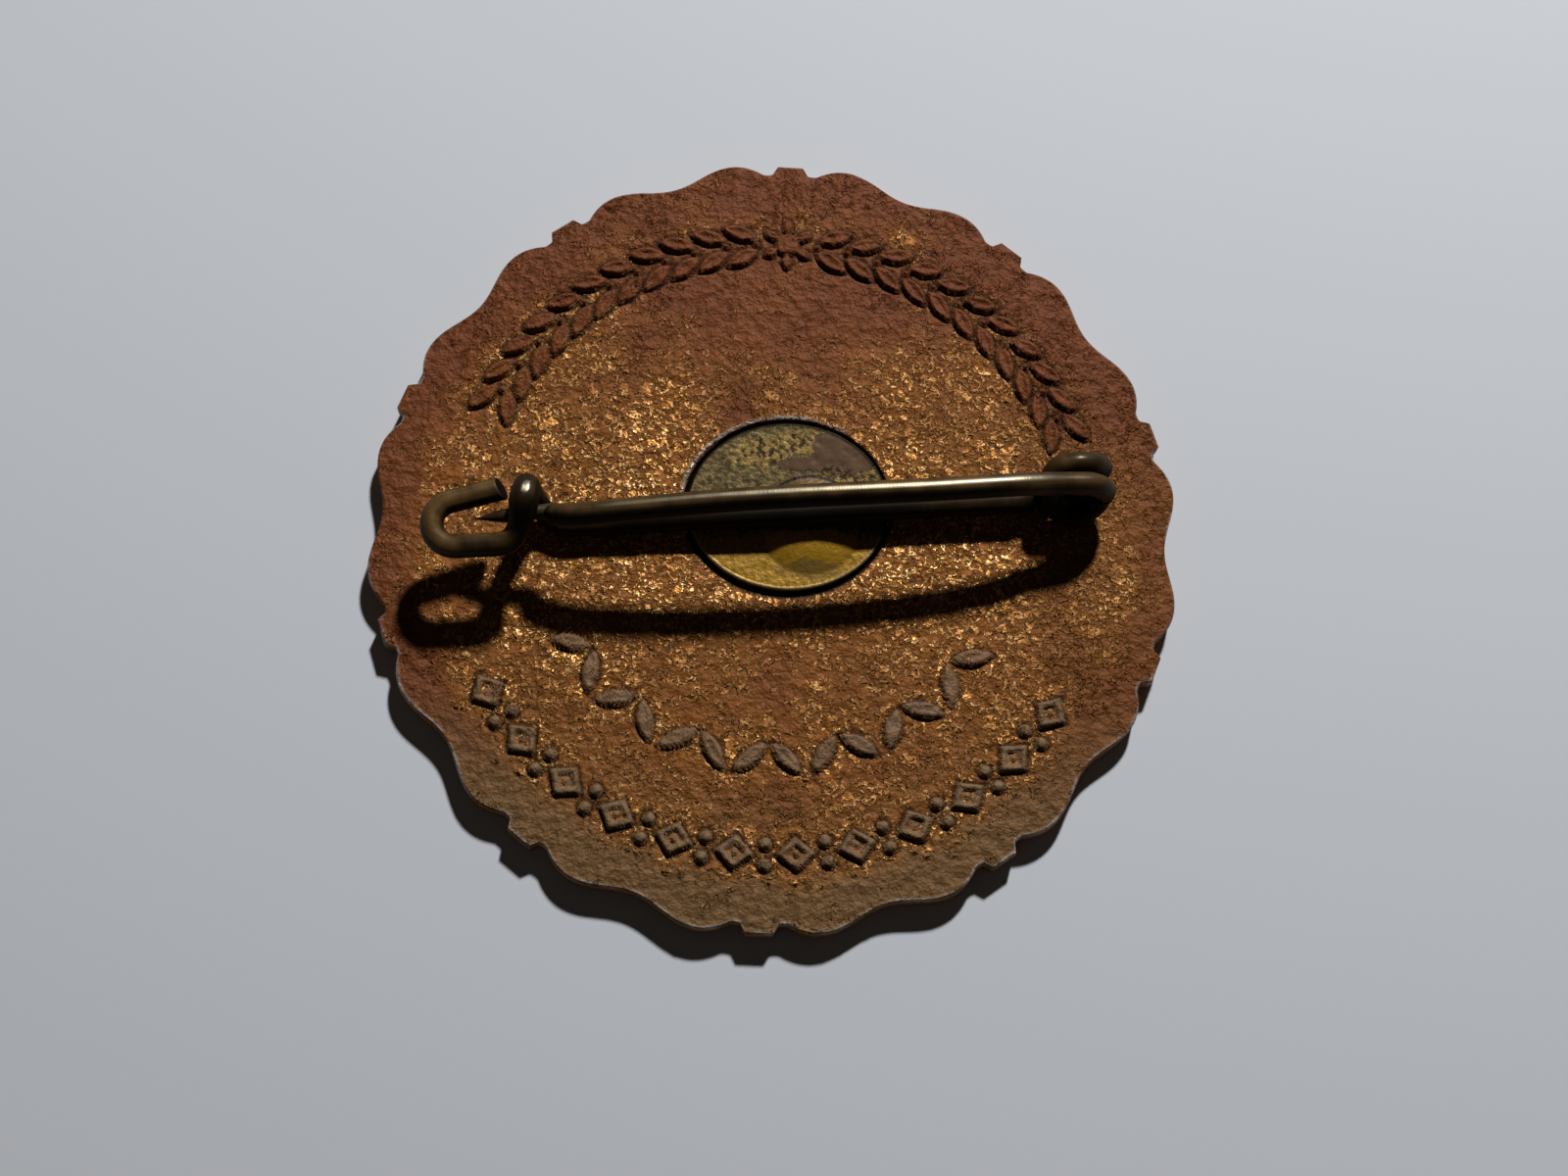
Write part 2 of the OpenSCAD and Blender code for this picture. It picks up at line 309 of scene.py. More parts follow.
@dataclass(frozen=True)
class StruckCopper:
    """Copper, struck in a blasted die and browned by wear and air.

    The eye sees smooth brown oxide, redder towards the top and greyer at the foot, with small raised flakes
    of metal on it. They stand alone in calm places and run together to a crust round the pin. Where they are
    rubbed they are golden, with pale highlights painted just inside their edges, and dark cracks between
    them. Its attributes are fields on the mesh: rough is how densely the flakes stand, rub is how far they
    are rubbed bare, red and dull are the shade of the oxide, crease darkens the foot of the ornament and
    holds painted shadow in the gap below the boss, seat is the floor under the boss, painted near-black as
    shade, and edge is metal rubbed pale on the lower ornament's tops, and painted paler still as a highlight
    along the rim and the seat's lip.
    """

    oxide_red: str = "#774223"
    oxide_brown: str = "#7f4e24"
    oxide_dull: str = "#7d603d"
    thin_oxide: str = "#a8692c"
    rubbed: str = "#cf8c44"
    # Painted highlight: pale spots laid just inside the flakes' edges
    painted_glint: str = "#ffd596"
    cracks: str = "#241308"
    # Painted shade: the seat's floor, seen through the gap round the boss, near-black
    seat_shade: str = "#0c0805"
    # Metal rubbed pale, painted paler as a highlight along the rim and the seat's lip
    worn_edge_and_highlight: str = "#b6ada2"
    mottle_mm: float = 2.0
    mottle_share: float = 0.8
    shades: Span = (0.3, 0.75)
    cloud_mm: float = 0.55
    cloud_light: Span = (0.78, 1.22)
    # Patches in which flakes stand together
    patch_mm: float = 0.42
    patch_warp_mm: float = 0.36
    patch_warp_by_mm: float = 0.5
    patch_edge: Span = (-0.05, 0.12)
    # Levels of one noise: flakes above, cracks below, and pale highlights painted just inside the flakes'
    # edges
    flake_mm: float = 0.36
    flake_twist: float = 1.4
    flake_level: Span = (0.46, 0.56)
    crack_level: Span = (0.43, 0.35)
    crack_share: float = 0.7
    glint_band: Span = (0.575, 0.03)
    # The grit is drawn a little coarser than a blasted die's, so that it shows at this size
    grit_mm: float = 0.15
    glint_grit: Span = (0.42, 0.52)
    cracks_from_rub: Span = (0.3, 0.6)
    metal: Span = (0.1, 0.6)
    roughness: Span = (0.55, 0.38)
    crust_depth_mm: float = 0.15
    cloud_height: float = 1.5
    grit_height: float = 0.25

    def build(self) -> bpy.types.Material:
        """Builds the node material.

        Returns:
            The material.
        """
        tree = Shading("struck_copper_oxidised")
        at, rub = tree.in_mm(), tree.field("rub")
        mottle, cloud, grit = (tree.noise(at, cell, detail, 0.55) for cell, detail in (
            (self.mottle_mm, 4.0), (self.cloud_mm, 3.0), (self.grit_mm, 2.0)))
        flake = tree.noise(at, self.flake_mm, 2.0, twist=self.flake_twist)
        warp = tree.noise(at, self.patch_warp_mm, 1.0, output="Color")
        warped = tree.node("VectorMath", {
            "operation": "MULTIPLY_ADD", 0: warp, 1: (self.patch_warp_by_mm,) * 3, 2: at})
        patches = tree.node("TexVoronoi", {"Scale": 1 / self.patch_mm, "Vector": warped}, "Color")
        chance = tree.node("SeparateColor", {0: patches})
        there = tree.spread(tree.math("SUBTRACT", tree.field("rough"), chance), *self.patch_edge)
        raised = tree.spread(flake, *self.flake_level, kind="SMOOTHSTEP")
        sunk = tree.spread(flake, *self.crack_level, 0.0, self.crack_share)
        flakes, cracks = (tree.math("MULTIPLY", form, there) for form in (raised, sunk))
        # Painted highlight: pale spots in a band just inside the flakes' edges, where the grit is high
        bright = tree.math("MULTIPLY", tree.spread(grit, *self.glint_grit), flakes)
        painted_glints = tree.math("MULTIPLY", bright, tree.math("COMPARE", flake, *self.glint_band))
        bare = tree.math("MULTIPLY", flakes, rub)
        shade = tree.math("MULTIPLY_ADD", mottle, self.mottle_share, tree.field("red"))
        layer = tree.ramp(shade, (self.shades[0], self.oxide_brown), (self.shades[1], self.oxide_red))
        layer = tree.mix(tree.field("dull"), layer, self.oxide_dull)
        layer = tree.mix(1.0, layer, tree.spread(cloud, 0.3, 0.7, *self.cloud_light), "MULTIPLY")
        for mask, colour in (
            (rub, self.thin_oxide),
            (tree.math("MULTIPLY", cracks, tree.spread(rub, *self.cracks_from_rub)), self.cracks),
            (bare, self.rubbed),
            # Painted highlight on the rubbed flakes
            (tree.math("MULTIPLY", painted_glints, rub), self.painted_glint),
            # Darker at the foot of the ornament, and painted shadow in the gap below the boss
            (tree.field("crease"), self.cracks),
            # Painted shade: the seat's floor near-black
            (tree.field("seat"), self.seat_shade),
            # Metal rubbed pale, and painted highlight along the rim and the seat's lip
            (tree.field("edge"), self.worn_edge_and_highlight),
        ):
            layer = tree.mix(mask, layer, colour)
        lumps = tree.math("MULTIPLY_ADD", cloud, self.cloud_height, flakes)
        crust = tree.math("MULTIPLY_ADD", grit, self.grit_height, lumps)
        return tree.close(crust, self.crust_depth_mm, {
            "Base Color": layer, "Metallic": tree.spread(bare, 0.0, 1.0, *self.metal),
            "Roughness": tree.spread(bare, 0.0, 1.0, *self.roughness), "Specular IOR Level": 0.15,
        })


@dataclass(frozen=True)
class TarnishedBrass:
    """Sheet brass, turned, let into the back and left to tarnish.

    The eye sees an olive-brown film, broken by ragged patches of warm yellow metal with dark pits, and smooth
    grey-brown and warm brown stains. Its attributes are fields on the mesh: gold, warm and stain say where
    these lie, clean is metal with few pits, with painted light on the dome's lower part
    against its shading, solder is the dull dome in the middle, foot is a dark ring round the dome's foot and
    painted shadow along the boss's upper rim, and edge is the lower rim, rubbed pale and painted paler as a
    highlight.
    """

    film_dark: str = "#4d4023"
    film: str = "#79673e"
    ochre: str = "#745c31"
    yellow: str = "#987c42"
    golden: str = "#c08f21"
    warm: str = "#977637"
    stain: str = "#5b432f"
    solder: str = "#5f4a2a"
    pits: str = "#30220e"
    # Painted shadow along the boss's upper rim, and a dark ring round the dome's foot
    rim_shade_and_ring: str = "#1a1108"
    # Metal rubbed pale, painted paler as a highlight along the boss's lower rim
    worn_edge_and_highlight: str = "#b5aa8a"
    patch_mm: float = 0.75
    pit_mm: float = 0.24
    pit_depth_mm: float = 0.04
    torn_by_pits: float = 0.45
    clean_of_pits: float = 0.035
    clean_gold: float = 0.7
    stain_smooth: float = 0.2

    def build(self) -> bpy.types.Material:
        """Builds the node material.

        Returns:
            The material.
        """
        tree = Shading("tarnished_brass")
        at, clean = tree.in_mm(), tree.field("clean")
        patch, speck = (tree.noise(at, cell, detail, 0.6) for cell, detail in (
            (self.patch_mm, 4.0), (self.pit_mm, 2.5)))
        torn = tree.math("MULTIPLY_ADD", speck, self.torn_by_pits, patch)
        torn = tree.math("DIVIDE", torn, 1 + self.torn_by_pits)
        shine = tree.math("MULTIPLY_ADD", clean, self.clean_of_pits, speck)
        metal = tree.ramp(shine, (0.4, self.pits), (0.47, self.ochre), (0.6, self.yellow))
        # More golden metal where this field is high, including the painted light on the dome's lower part
        golden = tree.mix(tree.math("MULTIPLY", clean, self.clean_gold), metal, self.golden)
        layer = tree.ramp(speck, (0.4, self.film_dark), (0.6, self.film))
        masks = {}
        # foot holds painted shadow along the upper rim, and edge a painted highlight along the lower rim
        for name, colour, ragged in (("gold", golden, 1.8), ("warm", self.warm, 1.5),
                                     ("stain", self.stain, 2.2), ("solder", self.solder, 0.1),
                                     ("foot", self.rim_shade_and_ring, 0.3), ("edge", self.worn_edge_and_highlight, 0.5)):
            level = tree.math("MULTIPLY_ADD", torn, ragged, tree.field(name))
            masks[name] = tree.spread(level, 0.45 + ragged / 2, 0.55 + ragged / 2)
            layer = tree.mix(masks[name], layer, colour)
        depth = tree.spread(masks["stain"], 0.0, 1.0, 1.0, self.stain_smooth)
        return tree.close(tree.math("MULTIPLY", speck, depth), self.pit_depth_mm, {
            "Base Color": layer, "Metallic": 0.35, "Roughness": 0.45, "Specular IOR Level": 0.2,
        })


@dataclass(frozen=True)
class DrawnWire:
    """Brass wire, drawn through a die, bent and darkened.

    The eye sees a dull brown film on the flat loop of the catch, painted near-black shade low down and on
    the sides away from the lamp, and dark metal along the arm, over the arch and round the coil, where a
    crisp pale streak, a highlight painted as pale burnished metal, is broken up by lines from the die and
    small scratches. Its attributes are fields on the mesh: grime is the dark film together
    with painted shade, worn is the pale burnished metal painted where the lamp's highlight
    falls, haze is how far it blurs the light, ground is ground metal at the root of the point and round the
    catch's cut end, painted pale partly as a highlight, and straight is the place along and round the wire,
    in millimetres, so that the lines follow the bends.
    """

    film: str = "#523c1f"
    film_warm: str = "#7a5c33"
    # Painted shade, and the dark film: near-black
    grime: str = "#0f0a05"
    # Painted highlight: pale burnished metal where the lamp's highlight falls
    polished_highlight: str = "#9a917a"
    # Ground metal, painted pale partly as a highlight
    ground: str = "#554a36"
    # The die's lines and the scratches are drawn coarser than real ones, so that they show at this size
    line_mm: float = 0.05
    line_length_mm: float = 5.0
    scratch_mm: float = 0.09
    scratch_width_mm: float = 0.5
    patch_mm: float = 1.3
    line_depth_mm: float = 0.004
    scratch_depth: float = 1.2
    patch_haze: float = 0.16

    def build(self) -> bpy.types.Material:
        """Builds the node material.

        Returns:
            The material.
        """
        tree = Shading("drawn_brass_wire_tarnished")
        along = tree.field("straight", "Vector")
        sizes = ((self.line_length_mm, self.line_mm), (self.scratch_mm, self.scratch_width_mm),
                 (self.patch_mm, self.patch_mm))
        lines, scratches, patch = (
            tree.noise(tree.node("Mapping", {"Vector": along, "Scale": (1 / length, 1 / width, 1 / width)}),
                       1.0, 3.0, 0.6) for length, width in sizes)
        both = tree.math("MULTIPLY_ADD", lines, 0.4, patch)
        layer = tree.ramp(both, (0.6, self.film), (0.85, self.film_warm))
        # Painted shade, the painted highlight and the pale ground metal over the film
        for name, colour in (("grime", self.grime), ("worn", self.polished_highlight), ("ground", self.ground)):
            layer = tree.mix(tree.field(name), layer, colour)
        height = tree.math("MULTIPLY_ADD", scratches, self.scratch_depth, lines)
        return tree.close(height, self.line_depth_mm, {
            "Base Color": layer, "Metallic": tree.spread(tree.field("worn"), 0.0, 1.0, 0.15, 1.0),
            "Roughness": tree.math("MULTIPLY_ADD", patch, self.patch_haze, tree.field("haze")),
            "Specular IOR Level": 0.12,
        })


@dataclass(frozen=True)
class Paper:
    """Smooth uncoated paper under the badge.

    The eye sees a flat pale blue-grey with a faint tooth.
    """

    colour: str = "#e4e8ee"
    tooth_mm: float = 0.6
    tooth_depth_mm: float = 0.02

    def build(self) -> bpy.types.Material:
        """Builds the node material.

        Returns:
            The material.
        """
        tree = Shading("smooth_paper")
        tooth = tree.noise(tree.in_mm(), self.tooth_mm, 3.0)
        surface = {"Base Color": linear(self.colour), "Roughness": 0.75}
        return tree.close(tooth, self.tooth_depth_mm, surface, strength=0.2)


# The struck plate

class Motif(Enum):
    """Raised forms of the ornament on the back."""

    LEAF = "leaf"
    LOZENGE = "lozenge"
    BEAD = "bead"


@dataclass
class PlateBack:
    """Points of the plate's back and rounded rim, with what lies at each of them. Sizes in millimetres.

    drop is how far the rounded rim falls, last marks the two rings where it starts, and gap is how far a
    point lies outside the seat's wall. press() fills lift, the height of the ornament, crease, the groove at
    its foot, which is also painted darker, and halo, the nearness to it. A motif rises over its flank. midrib
    and dish are the low share of a leaf's and of a lozenge's height, and border is the lozenge's own and its
    stud's width.
    """

    xy: np.ndarray
    drop: np.ndarray
    last: np.ndarray
    gap: np.ndarray
    flank: float = 0.12
    border: float = 0.2
    midrib: float = 0.6
    dish: float = 0.25
    crease_at: Span = (-0.08, 0.09)
    halo_width: float = 0.4

    def __post_init__(self) -> None:
        """Starts without ornament."""
        self.lift, self.crease, self.halo = np.zeros((3, len(self.xy)))

    def press(self, motif: Motif, radius: float, angle: float, turn: float, size: Span, height: float,
              shift: float = 0.0) -> None:
        """Lifts the points that lie under one motif.

        Args:
            motif: form of the motif.
            radius: distance of its middle from the plate's middle.
            angle: angle of its middle, in degrees from the right side.
            turn: its own turn from the direction along the ring, in degrees.
            size: its length and width.
            height: how high it stands.
            shift: how far it is set off along its own length.
        """
        place, lean = math.radians(angle), math.radians(angle + 90 + turn)
        along = np.array([math.cos(lean), math.sin(lean)])
        across = np.array([-along[1], along[0]])
        off = self.xy - radius * np.array([math.cos(place), math.sin(place)]) - shift * along
        near = np.flatnonzero(np.abs(off).max(axis=1) < max(size))
        u, v = off[near] @ along, off[near] @ across
        half_l, half_w = size[0] / 2, size[1] / 2
        if motif is Motif.LEAF:
            half = half_w * (1 - (u / half_l) ** 2)
            inside = half - np.abs(v)
            crown = self.midrib + (1 - self.midrib) * ease(1.5 * np.abs(v) / np.maximum(half, 0.05))
        elif motif is Motif.LOZENGE:
            inside = (1 - np.abs(u) / half_l - np.abs(v) / half_w) / math.hypot(1 / half_l, 1 / half_w)
            stud = 0.9 * step(np.hypot(u, v), self.border, self.border - self.flank)
            sunk = (1 - self.dish) * step(inside, self.border, self.border + self.flank)
            crown = np.maximum(1 - sunk, stud)
        else:
            inside = (1 - np.hypot(u / half_l, v / half_w)) * min(half_l, half_w)
            crown = 0.7 + 0.3 * ease(inside / min(half_l, half_w))
        lift = height * crown * ease(inside / self.flank + 0.45)
        for values, new in ((self.lift, lift), (self.crease, bell(inside, *self.crease_at)),
                            (self.halo, bell(np.minimum(inside, 0), 0, self.halo_width))):
            values[near] = np.maximum(values[near], new)


@dataclass(frozen=True)
class CopperWear:
    """How strongly each cause rubs, browns, dulls, darkens or pales the copper, as shares of 1."""

    rub_everywhere: float = 0.16
    rub_by_pin: float = 0.7
    rub_by_ornament: float = 0.3
    rub_by_low_ornament: float = 0.9
    rub_low: float = 0.2
    rub_blotches: float = 0.65
    shy_right: float = 0.5
    ornament_keeps: float = 0.2
    dull_foot: float = 0.85
    dull_low_ornament: float = 0.8
    red_top: float = 0.5
    red_left: float = 0.35
    red_calm: float = 0.3
    red_less: float = 0.15
    # The rim's pale edge: metal rubbed pale, painted paler as a highlight
    pale_rim: float = 0.8
    pale_lower_rim: float = 0.65
    pale_low_ornament: float = 0.1
    # Darkening at the foot of the ornament
    dark_crease: float = 0.95


@dataclass
class StruckPlate:
    """The copper plate, with scalloped edge, ornament and a seat for the boss. Sizes in millimetres."""

    plate_r: float = 17.7
    panels: int = 10
    lobe_out: float = 0.3
    valley_in: float = 0.35
    notch_in: float = 0.2
    tab_out: float = 0.22
    # Angles in degrees: half a tab, its flank, and from its middle to the notch's end and to the lobe
    tab_half: float = 1.9
    tab_flank: float = 0.8
    notch_end: float = 4.0
    lobe_at: float = 8.8
    four_swell: float = 0.14
    front_sink: float = 0.25
    front_field_r: float = 15.3
    relief_h: float = 0.22
    garland_r: float = 14.0
    garland_pairs: int = 11
    garland_open: float = 20.0
    leaf: Span = (1.75, 0.72)
    leaf_splay: float = 24.0
    leaf_offset: float = 0.62
    stalk_bead: float = 0.3
    rosette: float = 1.1
    petals: int = 6
    petal: Span = (0.8, 0.42)
    petal_at: float = 0.88
    lozenge_r: float = 14.6
    lozenges: int = 12
    lozenge: Span = (1.7, 1.5)
    row_bead: float = 0.54
    row_bead_at: float = 0.45
    sprig_r: float = 10.4
    sprigs: int = 14
    sprig: Span = (1.9, 0.7)
    sprig_lean: float = 48.0
    row: Span = (208.0, 333.0)
    seat_at: Span = (0.47, 1.15)
    seat: Span = (4.69, 4.19)
    seat_turn: float = 4.0
    seat_depth: float = 0.35
    segments: int = 240
    edge_round: float = 0.11
    # How far the edge stays inside the CAD solid
    skin: float = 0.01
    # Radii where the rings are fully round, where they get finer again, and where they start for the edge
    round_from: float = 7.0
    finer_from: float = 12.1
    edge_from: float = 15.8
    # How far the first rings lie outside the seat's wall
    seat_rings: tuple[float, ...] = (0.0, 0.05, 0.11, 0.17, 0.24, 0.31)
    lip_h: float = 0.08
    lip_sink: float = 0.07
    lower_rim_h: float = 0.03
    crease_sink: float = 0.06
    grain_h: float = 0.05
    pimple_h: float = 0.16
    wear: CopperWear = CopperWear()

    def outline(self, angle: float) -> float:
        """Works out the edge: equal panels, each from a tab over a notch and a lobe to a valley.

        Args:
            angle: angle in degrees from the right side.

        Returns:
            The edge's radius there.
        """
        panel = 360 / self.panels
        u = abs((angle - 90 + panel / 2) % panel - panel / 2)
        middle = self.plate_r + self.four_swell * math.cos(math.radians(4 * angle))
        if u <= self.tab_half:
            return (middle + self.tab_out) * math.cos(math.radians(self.tab_half)) / math.cos(math.radians(u))
        if u < self.notch_end:
            share = max(0.0, 1 - (u - self.tab_half) / self.tab_flank)
            return middle - self.notch_in + (self.tab_out + self.notch_in) * share
        if u < self.lobe_at:
            share = ((self.lobe_at - u) / (self.lobe_at - self.notch_end)) ** 2
            return middle + self.lobe_out - (self.lobe_out + self.notch_in) * share
        share = (1 - math.cos(math.pi * (u - self.lobe_at) / (panel / 2 - self.lobe_at))) / 2
        return middle + self.lobe_out - (self.lobe_out + self.valley_in) * share

    def ring(self, finer: int, radius: float | None = None, inset: float = 0.0, seat_share: float = 0.0,
             seat_grow: float = 0.0) -> np.ndarray:
        """Makes one ring of x, y points.

        Args:
            finer: how many times as many points as the coarsest ring it has.
            radius: radius of a round ring, or None for the scalloped edge.
            inset: how far the ring lies inside that.
            seat_share: 1 puts the ring on the oval seat, 0 on the round ring, and between them a blend.
            seat_grow: how far the oval lies outside the seat's wall.

        Returns:
            x, y rows.
        """
        count = finer * self.segments
        angles = 90 + np.arange(count) * 360 / count
        rad = np.radians(angles)
        size = np.array([self.outline(a) for a in angles]) - self.skin if radius is None else radius
        round_xy = np.c_[np.cos(rad), np.sin(rad)] * np.full(count, size - inset)[:, None]
        if not seat_share:
            return round_xy
        half = (self.seat[0] + seat_grow, self.seat[1] + seat_grow)
        return (1 - seat_share) * round_xy + seat_share * oval(angles, half, self.seat_turn, self.seat_at)

    def seat_gap(self, xy: np.ndarray) -> np.ndarray:
        """Measures how far points lie outside the wall of the seat.

        Args:
            xy: x, y rows.

        Returns:
            One distance a point, below 0 inside.
        """
        turn = math.radians(self.seat_turn)
        off = xy - np.array(self.seat_at)
        u = off @ np.array([math.cos(turn), math.sin(turn)])
        v = off @ np.array([-math.sin(turn), math.cos(turn)])
        reach = np.hypot(u / self.seat[0], v / self.seat[1])
        return (reach - 1) * np.hypot(u, v) / np.maximum(reach, 1e-6)

    def lay_back(self) -> tuple[PlateBack, list[int]]:
        """Lays the rings of the back, from the seat's wall to the edge, and of its rounded rim.

        Returns:
            The back, still without ornament, and the number of points in each ring.
        """
        grow, start = self.seat_rings[-1], self.round_from
        rings = [self.ring(1, start, seat_share=1.0, seat_grow=g) for g in self.seat_rings]
        shares = 1 - np.linspace(0.06, 1, 16)
        rings += [self.ring(1, start, seat_share=share, seat_grow=grow * share) for share in shares]
        rings += [self.ring(2, r) for r in np.linspace(start + 0.1, self.finer_from, 46)]
        rings += [self.ring(4, r) for r in np.linspace(self.finer_from + 0.1, self.edge_from, 39)]
        inner, outer = self.ring(4, self.edge_from), self.ring(4, inset=self.edge_round)
        rings += [inner + (outer - inner) * t for t in np.linspace(0, 1, 20)[1:]]
        drops = [0.0] * len(rings)
        for bend in np.radians([15, 35, 55, 75, 90]):
            rings.append(self.ring(4, inset=self.edge_round * (1 - math.sin(bend))))
            drops.append(self.edge_round * (1 - math.cos(bend)))
        counts = [len(r) for r in rings]
        last = np.arange(len(rings)) - drops.count(0.0)
        xy = np.concatenate(rings)
        back = PlateBack(xy, np.repeat(drops, counts), np.repeat((last == -1) | (last == 0), counts),
                         self.seat_gap(xy))
        return back, counts

    def press_ornament(self, back: PlateBack) -> None:
        """Presses a leaf garland into the upper back, and lozenges, beads and small leaves into the lower.

        Args:
            back: the back.
        """
        bead, tall = Motif.BEAD, self.relief_h
        pace = (180 - 2 * self.garland_open) / 2 / (self.garland_pairs + 1)
        for side in (1, -1):
            for i in range(self.garland_pairs):
                a = 90 - side * (90 - self.garland_open - pace * (i + 0.5))
                for out in (1, -1):
                    back.press(Motif.LEAF, self.garland_r + out * self.leaf_offset, a,
                               side * out * self.leaf_splay, self.leaf, tall)
                back.press(bead, self.garland_r, a + side * pace / 2, 0, (self.stalk_bead,) * 2, tall)
        back.press(bead, self.garland_r, 90, 0, (self.rosette,) * 2, tall)
        for i in range(self.petals):
            turn = 360 / self.petals * (i + 0.5)
            back.press(Motif.LEAF, self.garland_r, 90, turn, self.petal, tall, self.petal_at)
        pace = (self.row[1] - self.row[0]) / self.lozenges
        for i in range(self.lozenges):
            a = self.row[0] + pace * (i + 0.5)
            back.press(Motif.LOZENGE, self.lozenge_r, a, 0, self.lozenge, tall)
            for out in (1, -1) if i else ():
                back.press(bead, self.lozenge_r + out * self.row_bead_at, a - pace / 2, 0,
                           (self.row_bead,) * 2, tall)
        pace = (self.row[1] - self.row[0]) / self.sprigs
        for i in range(self.sprigs):
            lean = self.sprig_lean * (-1) ** i
            back.press(Motif.LEAF, self.sprig_r, self.row[0] + pace * (i + 0.5), lean, self.sprig, tall)

    def roughness(self, xy: np.ndarray) -> np.ndarray:
        """Says how densely the flakes stand: most round the pin, less above, below the boss and at the rim.

        Args:
            xy: x, y rows.

        Returns:
            One value a point, up to 1.
        """
        x, y = xy.T
        above = np.exp(-(((x - 0.2) / 7.5) ** 2 + ((y - 11.4) / 4.2) ** 2) ** 1.5)
        below_boss = bell(x, 0.8, 3.6) * bell(y, -6.2, 1.9)
        foot = step(y, -5, -10)
        rim = step(np.hypot(x, y), 15, 16.6)
        by_catch = bell(x, -15, 3.2) * bell(y, 1.5, 5.5)
        calm = 0.95 * above + 0.5 * below_boss + 0.35 * foot + 0.5 * rim + 0.55 * by_catch
        return np.clip(1 - calm + 0.5 * grain_field(xy, 2.2, 2.2), 0.05, 1)

    def heights(self, back: PlateBack, rough: np.ndarray) -> np.ndarray:
        """Works out the surface of the back: ornament, uneven ground, pimples and the lip round the seat.

        Args:
            back: the back with its ornament.
            rough: how densely the flakes stand.

        Returns:
            One height a point.
        """
        xy, y = back.xy, back.xy[:, 1]
        raised = self.raised(back)
        swell = 0.6 * grain_field(xy, 0.6, 1.3) + 0.4 * grain_field(xy, 0.36, 4.1)
        ground = 0.5 * self.grain_h * np.tanh(2.8 * swell) * rough * (1 - 0.8 * raised)
        ground += self.pimple_h * np.clip(grain_field(xy, 0.42, 6.6) - 0.4, 0, 0.5) * (1 - raised)
        ground *= np.where(back.drop > 0, 0.3, 1.0)
        upper = self.upper(y)
        lip = self.lip_h * bell(back.gap, 0.14, 0.12) * upper
        lip -= self.lip_sink * bell(back.gap, 0, 0.3) * (1 - upper)
        lip += self.lower_rim_h * back.last * step(y, -2, -8)
        foot = self.crease_sink * back.crease * (1 - raised)
        return np.minimum(PLATE_T - back.drop + back.lift + ground + lip - foot, PLATE_T + self.relief_h)

    def raised(self, back: PlateBack) -> np.ndarray:
        """Returns 1 on the ornament and 0 beside it."""
        return ease(back.lift / (0.6 * self.relief_h))

    def upper(self, y: np.ndarray) -> np.ndarray:
        """Returns 1 above the boss's middle and 0 below it."""
        return step(y, self.seat_at[1] - 1.2, self.seat_at[1] + 1.2)

    def fields(self, back: PlateBack, rough: np.ndarray) -> dict[str, tuple[np.ndarray, float]]:
        """Says where the copper is rubbed, rough, red, dull, dark and pale, and where light is painted.

        Args:
            back: the back with its ornament.
            rough: how densely the flakes stand before wear.

        Returns:
            By field, its values on the back and its value on the other points.
        """
        xy, wear = back.xy, self.wear
        x, y = xy.T
        radial, raised, upper = np.hypot(x, y), self.raised(back), self.upper(y)
        by_pin, low, right, rim = bell(y, 0.5, 5.5), step(y, 2, -4), step(x, 9, 14), step(radial, 15.6, 16.8)
        foot = step(y, -6, -14) * step(radial, 11, 16)
        near = back.halo * (1 - raised)
        blotches = 0.7 * grain_field(xy, 3.4, 7.0) + 0.5 * grain_field(xy, 1.2, 9.0)
        rub = wear.rub_everywhere + wear.rub_by_pin * by_pin + wear.rub_low * low
        rub += wear.rub_by_ornament * near + wear.rub_by_low_ornament * near * low
        rub += wear.rub_blotches * blotches - wear.shy_right * right
        kept = 1 - (1 - wear.ornament_keeps) * raised
        rub = np.clip(rub, 0, 1) * (1 - 0.8 * rim) * (0.2 + 0.8 * rough) * kept
        rough = np.clip(rough + 0.3 * near * low, 0, 1) * kept
        dull = wear.dull_foot * foot + wear.dull_low_ornament * raised * low
        red = wear.red_top * step(y, 2, 12) + wear.red_left * step(x, -11, -15)
        red += wear.red_calm * (1 - rough) - wear.red_less
        # Pale edges: metal rubbed pale, painted paler as a highlight along the seat's lip and the rim
        lip_wear_and_sheen = ease(0.7 + 1.2 * grain_field(xy, 1.3, 12.0) - 0.12 * (x - self.seat_at[0]))
        rim_wear_and_sheen = ease(0.4 + 2 * grain_field(xy, 1.5, 3.0)) * (back.drop > 0)
        low_rim_wear_and_sheen = ease(0.5 + 1.5 * grain_field(xy, 1.1, 3.0)) * back.last * step(y, -2, -8)
        edge = bell(back.gap, 0.1, 0.07) * upper * lip_wear_and_sheen
        edge += wear.pale_rim * bell(back.drop, 0.04, 0.04) * rim_wear_and_sheen
        edge += wear.pale_lower_rim * low_rim_wear_and_sheen + wear.pale_low_ornament * raised * low
        # Darker at the foot of the ornament; below the boss, painted shadow in the seat's gap
        crease = wear.dark_crease * back.crease * (1 - raised) + bell(back.gap, 0, 0.09) * (1 - upper)
        return {"rub": (rub, 0.2), "rough": (rough, 0.4), "red": (red, 0.2), "dull": (dull, 0.3),
                "crease": (crease, 0.0), "edge": (edge, 0.0)}

